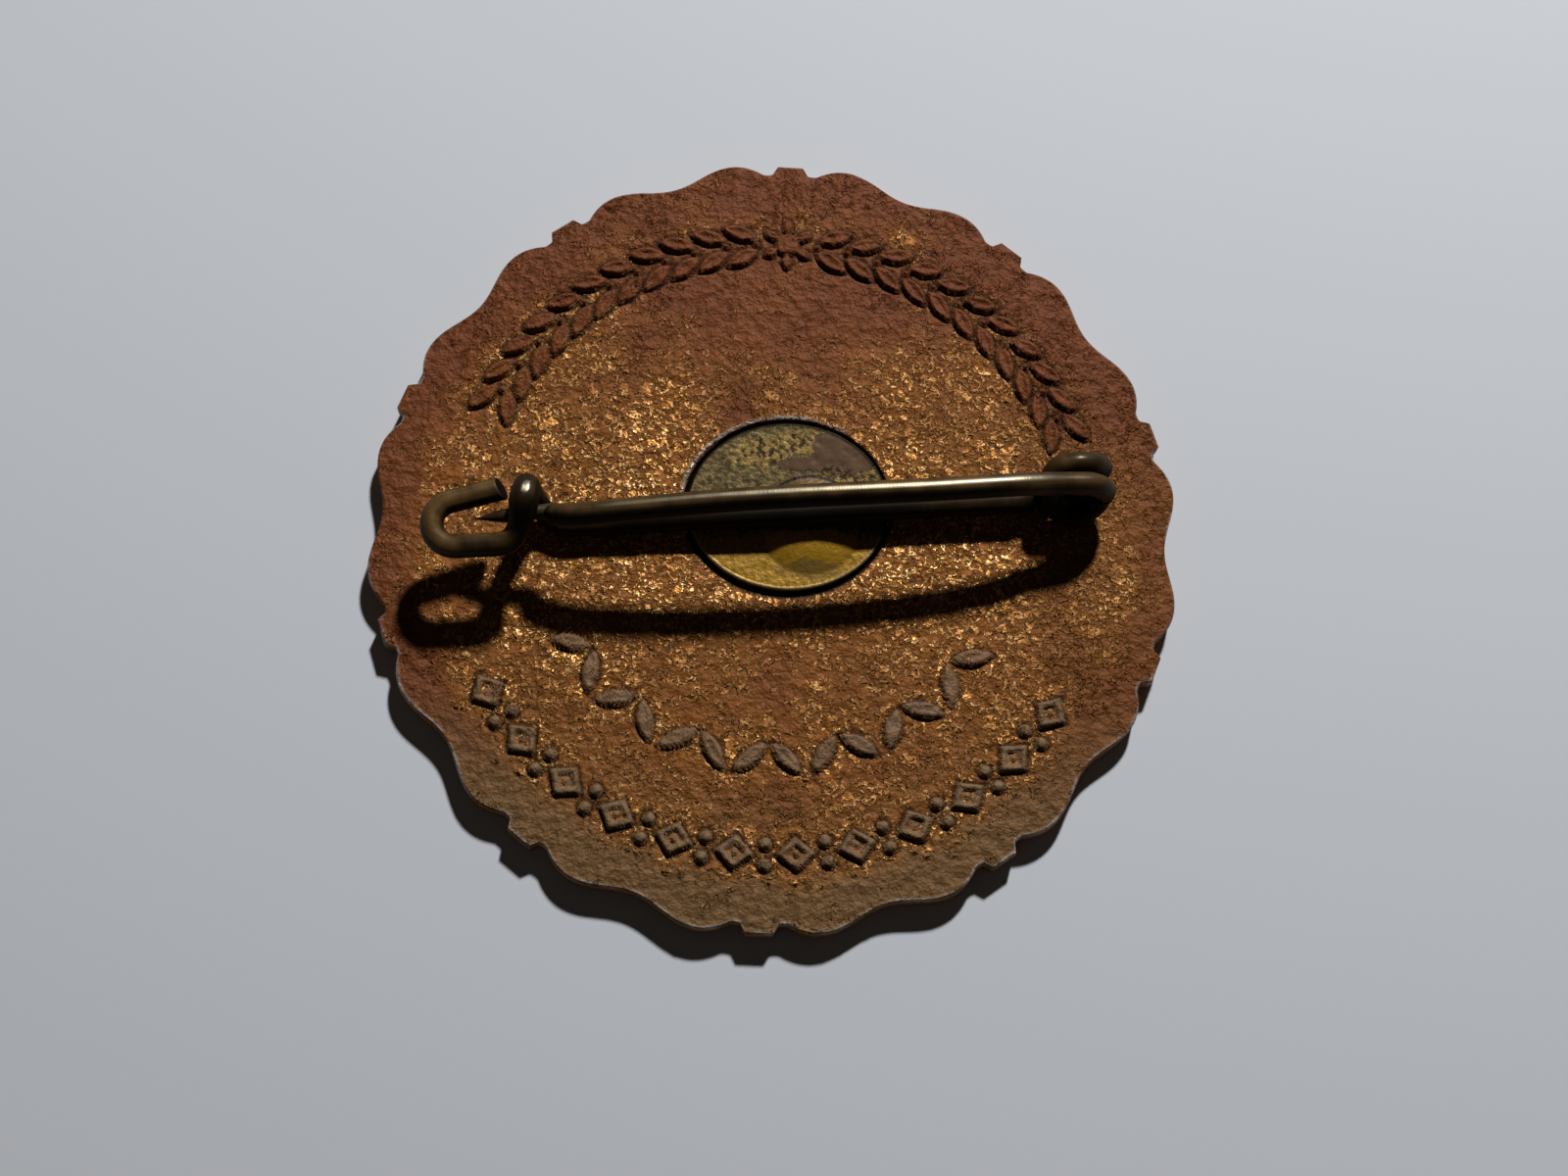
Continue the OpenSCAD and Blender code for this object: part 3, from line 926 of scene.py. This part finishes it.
    def underside(self) -> list[Ring]:
        """Lays the rings of the edge, the front's border and its sunk field.

        Returns:
            The rings, from the rim down and in to the middle.
        """
        field, sink = self.front_field_r, self.front_sink
        rows = [(4, None, 0.001, 0.6), (4, None, 0.005, 0.25), (4, None, 0.04, 0.04), (4, None, 0.12, 0.0),
                (4, field + 0.15, 0.0, 0.0), (4, field, 0.0, 0.05), (2, field - 0.08, 0.0, sink - 0.04)]
        rows += [(1, radius, 0.0, sink) for radius in (15.05, 13.0, 10.0, 7.0, 4.0, 1.5)]
        rings = [at_height(self.ring(finer, radius, inset), z) for finer, radius, inset, z in rows]
        return rings + [np.array([[0.0, 0.0, sink]])]

    def build(self) -> bpy.types.Object:
        """Builds the plate as one closed skin with its grain and ornament.

        Returns:
            The plate.
        """
        back, counts = self.lay_back()
        self.press_ornament(back)
        rough = self.roughness(back.xy)
        top = at_height(back.xy, self.heights(back, rough))
        floor = PLATE_T - self.seat_depth
        wall = self.ring(1, self.round_from, seat_share=1.0)
        seat = [np.array([[*self.seat_at, floor]]), at_height(wall, floor)]
        points, faces = stitch(seat + np.split(top, np.cumsum(counts)[:-1]) + self.underside())
        first, total = 1 + len(wall), len(points)
        fields = {name: among(values, first, total, rest)
                  for name, (values, rest) in self.fields(back, rough).items()}
        # Marks the seat's floor, which is painted near-black as shade
        fields["seat"] = among(np.ones(first), 0, total, 0.0)
        return mesh_object("copper_plate", points, faces, fields)


# The brass boss

@dataclass
class BrassBoss:
    """The oval boss with its dome of solder. Sizes in millimetres."""

    middle: Span = (0.52, 1.27)
    half: Span = (4.55, 3.97)
    turn: float = 4.0
    stand: float = -0.08
    burr: float = 0.03
    foot: float = -0.32
    dome_at: Span = (1.546, 0.395)
    dome_r: float = 2.3
    dome_h: float = 0.44
    bevel: float = 0.07
    inmost: float = 3.88
    segments: int = 300
    # Middle and size of each soft patch, in the badge's own x and y
    gold_spots: tuple[tuple[Span, Span], ...] = (
        ((-0.7, 3.75), (1.3, 0.7)), ((0.9, 4.25), (1.3, 0.6)), ((3.4, 2.8), (1.3, 0.4)))
    faint_gold: tuple[Span, Span] = ((-1.5, 3.3), (0.8, 0.35))
    stains: tuple[tuple[Span, Span], ...] = (((3.1, 3.95), (1.7, 0.85)), ((1.3, 3.3), (1.2, 0.35)))
    warm_spot: tuple[Span, Span] = ((1.7, -1.75), (1.5, 0.55))

    def ring(self, inset: float) -> np.ndarray:
        """Returns an oval ring of x, y points that lies inside the boss's edge."""
        angles = np.arange(self.segments) * 360 / self.segments
        return oval(angles, (self.half[0] - inset, self.half[1] - inset), self.turn, self.middle)

    def build(self) -> bpy.types.Object:
        """Builds the boss as one closed skin.

        Returns:
            The boss.
        """
        face, foot = PLATE_T + self.stand, PLATE_T + self.foot
        rings: list[Ring] = [np.array([[*self.middle, foot]]), at_height(self.ring(0), foot)]
        for bend in np.radians([0, 30, 60, 90]):
            edge = self.ring(self.bevel * (1 - math.cos(bend)))
            rings.append(at_height(edge, face - self.bevel * (1 - math.sin(bend))))
        for step_in in (0.03, 0.07, *np.linspace(0.13, self.inmost - self.bevel, 46)):
            xy = self.ring(self.bevel + step_in)
            rings.append(at_height(xy, self.top(xy) + self.burr * (step_in < 0.05)))
        middle = np.array([self.middle])
        rings.append(at_height(middle, self.top(middle)))
        points, faces = stitch(rings)
        number = np.repeat(np.arange(len(rings)), [len(ring) for ring in rings])
        return mesh_object("brass_boss", points, faces, self.tarnish(points[:, :2], number))

    def tarnish(self, xy: np.ndarray, number: np.ndarray) -> dict[str, np.ndarray]:
        """Says where the stains lie, and where shade and light are painted.

        Args:
            xy: points of the boss.
            number: number of the ring that each point is on, from the foot over the rim to the middle.

        Returns:
            Fields by name, from 0 to 1, where 0.5 is the edge of a stain.
        """
        low = step(xy[:, 1], self.middle[1] - 0.5, self.middle[1] - 2)
        off = np.hypot(*(xy - np.array(self.dome_at)).T)
        gold = [oval_spot(xy, *spot) for spot in self.gold_spots] + [0.8 * oval_spot(xy, *self.faint_gold)]
        # Painted shadow along the boss's rim and a dark ring round the dome's foot, on the upper part only
        rim_shade_and_ring = np.maximum(0.95 * bell(off, self.dome_r, 0.09), number < 7)
        return {
            "gold": np.maximum.reduce(gold + [low]),
            # Painted light: on the dome's lower part, more golden metal with few pits, against its shading
            "clean": low * (0.75 + 0.5 * step(off, self.dome_r, self.dome_r - 0.3)),
            "warm": 0.85 * oval_spot(xy, *self.warm_spot),
            "stain": np.maximum.reduce([oval_spot(xy, *spot) for spot in self.stains]),
            "solder": (1 - off / (2 * self.dome_r)) * (1 - low),
            "foot": rim_shade_and_ring * (1 - low),
            # The lower rim: a pale burr, painted paler as a highlight
            "edge": ((number > 4) & (number < 7)) * 0.85 * low,
        }

    def top(self, xy: np.ndarray) -> np.ndarray:
        """Works out the pitted face and the solder dome.

        Args:
            xy: x, y rows.

        Returns:
            One height a point.
        """
        pits = 0.012 * grain_field(xy, 0.5, 3.3) - 0.03 * np.clip(grain_field(xy, 0.3, 5.8) - 0.32, 0, 1)
        ball = (self.dome_r ** 2 + self.dome_h ** 2) / (2 * self.dome_h)
        off = np.hypot(*(xy - np.array(self.dome_at)).T)
        dome = np.sqrt(np.clip(ball ** 2 - off ** 2, 0, None)) - ball + self.dome_h
        return PLATE_T + self.stand + pits + np.maximum(dome, 0)


# The wire fitting

@dataclass
class WireRun:
    """One piece of wire: rows of x, y, z and radius in the fitting's frame, and its wear along them.

    rounding is that of the rim at its two ends. flat is the depth that its upper side is worn flat by, wide
    the share by which bending has spread it sideways, and bright the ground metal, painted pale partly as a
    highlight, one value a row. cut holds the slopes of the cut at its last end, towards the wire's side and
    towards its top.
    """

    name: str
    rows: np.ndarray
    rounding: Span
    flat: np.ndarray
    wide: np.ndarray
    bright: np.ndarray
    cut: Span = (0.0, 0.0)


@dataclass
class WireSkin:
    """Points on a wire, the way that each faces, the wire's radius, and 1 on cut or ground metal."""

    xyz: np.ndarray
    facing: np.ndarray
    radius: np.ndarray
    cut_face: np.ndarray
    bright: np.ndarray


@dataclass
class WireFitting:
    """The wire that makes base, coil and catch, and the moving arm with its point. Sizes in millimetres."""

    wire_r: float = 0.515
    at: Span = (0.63, 0.6)
    turn: float = 6.0
    base_lift: float = 0.62
    base_rise: float = 0.22
    coil_x: float = 12.65
    coil_r: float = 1.2
    coil_pressed: float = 0.16
    bow_h: float = 4.1
    arch_x: float = -11.55
    arch_h: float = 4.05
    loop_h: float = 2.95
    loop_r: float = 1.04
    loop_at: Span = (-14.6, -0.46)
    loop_flare: float = 13.0
    loop_end: float = 2.3
    arm_end_x: float = -10.35
    point_fall: float = 5.0
    point_aim: float = 2.0
    # Way that the lamp's highlight faces: flats are cut square to it, and pale metal is painted facing it
    highlight_side: tuple[float, float, float] = (0.12, 0.255, 0.959)
    arm_flat: float = 0.018
    arch_flat: float = 0.034
    arch_wide: float = 0.26
    cut: Span = (-0.1, -0.42)
    cut_length: float = 0.7
    face_depth: float = 0.02
    # How pale ground metal is painted, partly as a highlight, at the point's root and by the catch's cut end
    ground_bright: float = 0.6
    sides: int = 40

    def on_coil(self, angle: float, drift: float, half_h: float) -> Station:
        """Returns a station of the coil, at an angle in degrees from its right side, over the top."""
        rad = math.radians(angle)
        return (self.coil_x + self.coil_r * math.cos(rad), drift,
                self.base_lift + half_h * (1 + math.sin(rad)), self.wire_r)

    def loop(self) -> list[Station]:
        """Lays the flat loop of the catch, open at its end.

        Returns:
            Its stations.
        """
        (x, y), radius, h, r = self.loop_at, self.loop_r, self.loop_h, self.wire_r
        stations = [(x + s, y - radius, h, r) for s in (1.2, 0.4)]
        for a in np.radians(range(-90, int(-270 + self.loop_flare), -20)):
            stations.append((x + radius * math.cos(a), y + radius * math.sin(a), h, r))
        tilt, away = math.radians(self.loop_flare), math.radians(90 + self.loop_flare)
        x, y = x + radius * math.cos(away), y + radius * math.sin(away)
        for s in (0.3, self.loop_end / 3, self.loop_end * 2 / 3, self.loop_end):
            stations.append((x + s * math.cos(tilt), y + s * math.sin(tilt), h - 0.04 * s, r))
        return stations

    def fixed_stations(self) -> list[Station]:
        """Lays the route of the fixed wire: coil, base, arch over the point and flat loop of the catch.

        Returns:
            Its stations.
        """
        r, low, rise = self.wire_r, self.base_lift, self.base_rise
        turns = [4, 10, *range(18, 451, 18)]
        drift = np.interp(turns, [0, 18, 45, 90, 135, 180, 225, 270, 360, 405, 450],
                          [-0.1, -0.1, -0.42, -0.72, -0.45, 0.3, 0.94, 1.02, 1.08, 0.98, 0.8])
        half = np.interp(turns, [180, 250], [self.coil_r, self.coil_r - self.coil_pressed])
        coil = [self.on_coil(-a, float(d), float(h)) for a, d, h in zip(turns, drift, half)]
        x, top, loop_h = self.coil_x, self.arch_h, self.loop_h
        base = [(x - 0.7, 0.78, low, r), (x - 1.2, 0.58, low + 0.3 * rise, r),
                (x - 1.8, 0.22, low + 0.7 * rise, r), (x - 2.5, 0.0, low + rise, r),
                (x - 3.2, 0.0, low + rise, r), (4.0, 0.0, low + 0.8 * rise, r),
                (-3.0, 0.0, low + 0.3 * rise, r), (-9.4, 0.0, low, r)]
        arch = [(-10.1, 0.08, low, r), (-10.7, 0.46, low + 0.1, r), (-11.14, 0.9, low + 0.55, r),
                (-11.33, 1.04, low + 1.3, r), (-11.4, 1.04, top - 1.1, r), (-11.46, 0.88, top - 0.4, r),
                (-11.52, 0.5, top - 0.04, r), (-11.6, 0.08, top, r), (-11.7, -0.36, top - 0.28, r),
                (-11.88, -0.85, loop_h + 0.36, r), (-12.2, -1.26, loop_h + 0.1, r),
                (-12.7, -1.48, loop_h + 0.02, r)]
        return coil + base + arch + self.loop()

    def arm_stations(self) -> list[Station]:
        """Lays the route of the arm, from the coil over its top and along the bow to the point's root.

        Returns:
            Its stations.
        """
        r, x, h = self.wire_r, self.coil_x, self.bow_h
        turns = [4, 10, *range(17, 81, 15)]
        drift = np.interp(turns, [17, 80], [-0.1, -0.04])
        coil = [self.on_coil(a, float(d), self.coil_r) for a, d in zip(turns, drift)]
        bow = [(x - 1.05, -0.06, h - 0.88, r), (x - 2.05, -0.12, h - 0.6, r), (x - 3.4, -0.2, h - 0.37, r),
               (6.1, -0.32, h - 0.13, r), (2.7, -0.36, h - 0.01, r), (-0.5, -0.37, h, r),
               (-3.6, -0.4, h - 0.08, r), (-7.4, -0.46, h - 0.42, r), (-9.4, -0.45, h - 0.75, r),
               (self.arm_end_x, -0.28, h - 1.07, r * 0.96)]
        return coil + bow

    def smooth(self, stations: list[Station], spacing: float = 0.1) -> np.ndarray:
        """Runs a smooth curve through the stations.

        Args:
            stations: x, y, z and radius of each.
            spacing: distance between two rows of the result, closer near both ends.

        Returns:
            Rows of x, y, z and radius.
        """
        p = np.array([stations[0], *stations, stations[-1]])
        rows = [p[0]]
        for a, b, c, d in zip(p, p[1:], p[2:], p[3:]):
            for t in np.arange(1, 13) / 12:
                rows.append((2 * b + (c - a) * t + (2 * a - 5 * b + 4 * c - d) * t * t
                             + (3 * b - a - 3 * c + d) * t ** 3) / 2)
        dense = np.array(rows)
        length = self.lengths(dense)
        full = length[-1]
        ends = np.array([0.0, 0.012, 0.03, 0.055])
        even = np.linspace(0.09, full - 0.09, int(full / spacing))
        places = np.concatenate([ends, even, full - ends[::-1]])
        return np.stack([np.interp(places, length, dense[:, k]) for k in range(4)], axis=1)

    def lengths(self, rows: np.ndarray) -> np.ndarray:
        """Returns the length of the wire up to each row."""
        return np.concatenate([[0], np.cumsum(np.linalg.norm(np.diff(rows[:, :3], axis=0), axis=1))])

    def sweep(self, run: WireRun) -> bpy.types.Object:
        """Sweeps a round wire along its rows, rounds or cuts its two ends and wears it.

        Args:
            run: the piece of wire.

        Returns:
            The wire.
        """
        rows, length = run.rows, self.lengths(run.rows)
        full = length[-1]
        heads = np.gradient(rows[:, :3], axis=0)
        heads /= np.linalg.norm(heads, axis=1)[:, None]
        rad = np.arange(self.sides) * 2 * math.pi / self.sides
        side = np.array([0.0, 1.0, 0.0])
        rings: list[Ring] = [rows[:1, :3]]
        straight, toward = [np.zeros((1, 3))], [np.zeros((1, 3))]
        for row, head, s, depth, spread in zip(rows, heads, length, run.flat, run.wide):
            side = side - (side @ head) * head
            side /= np.linalg.norm(side)
            radius = row[3]
            for reach, soft in ((s, run.rounding[0]), (full - s, run.rounding[1])):
                if reach < soft:
                    radius -= soft - math.sqrt(soft ** 2 - (soft - reach) ** 2)
            out = np.cos(rad)[:, None] * side + np.sin(rad)[:, None] * np.cross(head, side)
            facing = np.maximum(out @ np.array(self.highlight_side), 0.3)
            off = np.minimum(radius, (radius - depth) / facing)[:, None] * out
            across = np.cross(head, (0.0, 0.0, 1.0))
            across /= max(np.linalg.norm(across), 0.2)
            off += spread * (off @ across)[:, None] * across
            lean = radius * step(full - s, self.cut_length, 0) * (out[:, 1:] @ np.array(run.cut))
            rings.append(row[:3] + off + lean[:, None] * head)
            straight.append(np.c_[np.full(self.sides, s), radius * np.cos(rad), radius * np.sin(rad)])
            toward.append(out)
        rings.append(rows[-1:, :3])
        straight.append(np.array([[full, 0.0, 0.0]]))
        toward.append(np.zeros((1, 3)))
        points, faces = stitch(rings)
        at_end = np.minimum(length, full - length) < self.face_depth
        last = len(rows) - 1
        on_row = np.concatenate([[0], np.repeat(np.arange(last + 1), self.sides), [last]])
        skin = WireSkin(points, np.concatenate(toward), rows[on_row, 3], at_end[on_row].astype(float),
                        run.bright[on_row])
        turn = math.radians(self.turn)
        x = points[:, 0] * math.cos(turn) - points[:, 1] * math.sin(turn) + self.at[0]
        y = points[:, 0] * math.sin(turn) + points[:, 1] * math.cos(turn) + self.at[1]
        fields = {"straight": np.concatenate(straight)} | self.wear(skin)
        return mesh_object(run.name, np.c_[x, y, points[:, 2] + PLATE_T], faces, fields)

    def wear(self, skin: WireSkin) -> dict[str, np.ndarray]:
        """Says where the wire is painted dark or pale, and where it is hazy and ground.

        Args:
            skin: points on the wire.

        Returns:
            Fields by name, from 0 to 1.
        """
        x, y, z = skin.xyz.T
        _, aside, up = skin.facing.T
        lit = skin.facing @ np.array(self.highlight_side)
        # Where a point lies
        loop = step(x, -11.8, -12.5)
        off_bend = 1 - step(x, -14.2, -14.8)
        front_leg = step(y, -0.9, -1.4) * off_bend
        arch = step(x, -10.9, -11.3) * (1 - loop)
        coil = step(x, self.coil_x - 1.6, self.coil_x - 0.8)
        high = step(z, 1.8, 2.8)
        thin = step(skin.radius, 0.46, 0.38)
        # Where the lamp reaches the base wire's top, painted less dark
        lit_base = step(x, 4.6, 6.2) * (1 - coil) + 0.7 * step(x, -7.4, -8.2)
        # How dark it is painted there: painted shade, and a dark film on the arm, arch and coil
        # Painted shade on the sides that face away from the lamp and its highlight
        painted_shade_side = step(lit, 0.95, 0.7) * step(aside, 0.75, 0.25) * (1 - 0.6 * step(x, 8, 11))
        # Loop: painted shade on sides that face down; darker on the front leg and away from the bend
        on_loop = np.maximum(step(up, 0.93, 0.33), 0.2 * off_bend + 0.55 * front_leg)
        # Arm, arch and coil: a dark film, with painted shade on the far sides, darkest over the arch
        on_arm = 0.45 + 0.5 * np.maximum(painted_shade_side, 0.8 * arch) + 0.05 * coil
        # Low down, painted near-black as shade
        on_base = 0.97 - 0.16 * lit_base * step(up, 0.6, 0.9)
        # The point painted dark, darkest on its lower side as painted shade
        on_point = thin * (0.62 + 0.3 * step(up, 0.9, 0.5)) * (1 - skin.bright)
        grime = 0.93 * on_loop * loop + (on_arm * high + on_base * (1 - high)) * (1 - loop)
        # Where pale burnished metal is painted as the lamp's highlight, and how hazy that is
        calm = 0.3 * bell(x, 5.4, 2.2) + 0.85 * coil
        highlight_streak = step(lit, 0.955, 0.98) * high * (1 - loop) * (1 - skin.cut_face)
        haze = 0.42 - (0.2 + 0.1 * arch) * highlight_streak + 0.04 * step(x, 0, -4) * (1 - arch) * (1 - loop)
        return {
            # The cut face is painted near-black too
            "grime": np.maximum.reduce([grime, skin.cut_face, on_point]),
            "worn": highlight_streak * (0.62 + 0.38 * arch) * (1 - calm),
            "haze": np.maximum(haze, 0.85 * skin.cut_face),
            "ground": skin.bright,
        }

    def build_fixed(self) -> bpy.types.Object:
        """Builds the base wire with the fixed part of the coil and the catch.

        Returns:
            The wire.
        """
        rows = self.smooth(self.fixed_stations())
        x, y, z, _ = rows.T
        flat = self.arch_flat * bell(x, self.arch_x, 0.3) * bell(y, 0.25, 0.45) * (z > self.loop_h + 0.5)
        spread = bell(y, 0.15, 0.75) * (x < -10.9) * step(z, self.loop_h + 0.2, self.loop_h + 0.8)
        # A pale ring just behind the cut end: ground metal, painted pale partly as a highlight
        burr = np.zeros(len(rows))
        burr[-4:-2] = self.ground_bright
        run = WireRun("catch_wire", rows, (0.03, 0.07), flat, self.arch_wide * spread, burr, self.cut)
        return self.sweep(run)

    def build_arm(self) -> bpy.types.Object:
        """Builds the arm with its ground point.

        Returns:
            The wire.
        """
        rows = self.smooth(self.arm_stations())
        fall, aim = math.radians(self.point_fall), math.radians(self.point_aim)
        ahead = np.array([-math.cos(fall) * math.cos(aim), -math.cos(fall) * math.sin(aim), -math.sin(fall)])
        root, end = np.array([self.arm_end_x - 0.05, -0.04, 2.86]), rows[-1, :3]
        shoulder = [(*(end + (root - end) * share), radius) for share, radius in ((0.35, 0.47), (0.75, 0.42))]
        # Distance from the root and radius of each section of the point
        profile = [(0.0, 0.36), (0.06, 0.335), (0.2, 0.322), (0.9, 0.32), (1.7, 0.32), (2.05, 0.31),
                   (2.25, 0.285), (2.5, 0.235), (2.8, 0.17), (3.05, 0.11), (3.28, 0.06), (3.38, 0.035),
                   (3.43, 0.02)]
        point = [(*(root + ahead * s), r) for s, r in profile]
        whole = np.vstack([rows, shoulder, point])
        x, z, nought = whole[:, 0], whole[:, 2], np.zeros(len(whole))
        on_arm = step(x, 8, 5) * step(x, -10.3, -9.5) * (z > 2.5)
        uneven = 0.85 + 0.6 * grain_field(np.c_[x, nought], 0.7, 8.0)
        flat = self.arm_flat * on_arm * np.clip(uneven, 0.2, 1.4)
        # The point's root painted pale: ground metal, partly as a highlight
        ground = nought.copy()
        ground[len(rows) + 1:len(rows) + 5] = self.ground_bright
        return self.sweep(WireRun("pin_wire", whole, (0.03, 0.015), flat, nought, ground))


# Floor, camera and lights

@dataclass
class Studio:
    """Paper floor, camera at the photograph's angle and the lights. Sizes in millimetres, powers in watts."""

    camera_at: tuple[float, float, float] = (-2.7, -33.64, 100.43)
    camera_aim: tuple[float, float, float] = (0.48, -2.63, 1.1)
    camera_roll: float = 8.43
    focal: float = 54.0
    sensor: float = 36.0
    lamp_toward: tuple[float, float, float] = (0.3, 1.06, 1.0)
    lamp_away: float = 340.0
    lamp_size: float = 28.0
    lamp_power: float = 0.98
    lamp_colour: str = "#ffffff"
    fill_at: tuple[float, float, float] = (-260.0, -340.0, 420.0)
    fill_size: float = 400.0
    fill_power: float = 0.018
    fill_colour: str = "#fff2e6"
    room_colour: str = "#f2e8dc"
    room_light: float = 0.012
    floor_size: float = 1600.0

    def build(self) -> None:
        """Builds floor, camera and lights."""
        self.build_floor()
        self.build_camera()
        away = Vector(self.lamp_toward).normalized() * self.lamp_away
        self.build_lamp("lamp", away, self.lamp_size, self.lamp_power, self.lamp_colour)
        self.build_lamp("soft_fill", Vector(self.fill_at), self.fill_size, self.fill_power, self.fill_colour)
        world = bpy.data.worlds.new("room")
        bpy.context.scene.world = world
        world.use_nodes = True
        world.node_tree.nodes.clear()
        room = add_node(world.node_tree, "ShaderNodeBackground",
                        {"Color": linear(self.room_colour), "Strength": self.room_light})
        add_node(world.node_tree, "ShaderNodeOutputWorld", {0: room.outputs[0]})
        bpy.context.scene.view_settings.view_transform = "Standard"

    def build_floor(self) -> None:
        """Lays the paper under the badge."""
        half = self.floor_size / 2
        corners = np.array([[-half, -half, 0], [half, -half, 0], [half, half, 0], [-half, half, 0]])
        floor = mesh_object("paper_floor", corners, [(0, 1, 2, 3)], {})
        floor.data.materials.append(Paper().build())

    def build_camera(self) -> None:
        """Sets up the camera as the photograph was taken."""
        data = bpy.data.cameras.new("camera")
        data.lens = self.focal
        data.sensor_width = self.sensor
        data.clip_start = 1 * MM
        camera = bpy.data.objects.new("camera", data)
        camera.location = Vector(self.camera_at) * MM
        look = (Vector(self.camera_aim) - Vector(self.camera_at)).to_track_quat("-Z", "Y")
        camera.rotation_mode = "QUATERNION"
        camera.rotation_quaternion = look @ Quaternion((0, 0, 1), math.radians(self.camera_roll))
        bpy.context.scene.collection.objects.link(camera)
        bpy.context.scene.camera = camera

    def build_lamp(self, name: str, at: Vector, size: float, power: float, colour: str) -> None:
        """Hangs a round lamp that faces the badge.

        Args:
            name: name of the lamp.
            at: its place, in millimetres.
            size: its diameter, in millimetres.
            power: its power, in watts.
            colour: its colour.
        """
        data = bpy.data.lights.new(name, "AREA")
        data.shape = "DISK"
        data.size = size * MM
        data.energy = power
        data.color = linear(colour)[:3]
        lamp = bpy.data.objects.new(name, data)
        lamp.location = at * MM
        lamp.rotation_mode = "QUATERNION"
        lamp.rotation_quaternion = (-at).to_track_quat("-Z", "Y")
        bpy.context.scene.collection.objects.link(lamp)


def dress(piece: bpy.types.Object, finish: bpy.types.Material, body: str, node: str) -> None:
    """Gives a piece its finish and its place in the frame, and reports it.

    Args:
        piece: the object.
        finish: its material.
        body: body that it rides on.
        node: node of the CAD model that it stands for.
    """
    piece.data.materials.append(finish)
    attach(piece, body)
    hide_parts(node)
    log.info("%s: %d faces, on %s", piece.name, len(piece.data.polygons), body)


def main() -> None:
    """Builds the studio and every piece of the badge."""
    logging.basicConfig(level=logging.INFO, format="%(name)s %(message)s")
    Studio().build()
    copper, brass, wire = StruckCopper().build(), TarnishedBrass().build(), DrawnWire().build()
    fitting = WireFitting()
    dress(StruckPlate().build(), copper, "badge", "struck_plate")
    dress(BrassBoss().build(), brass, "badge", "catch_fitting")
    dress(fitting.build_fixed(), wire, "badge", "catch_fitting")
    dress(fitting.build_arm(), wire, "pin", "pin_arm")


if __name__ == "__main__":
    main()
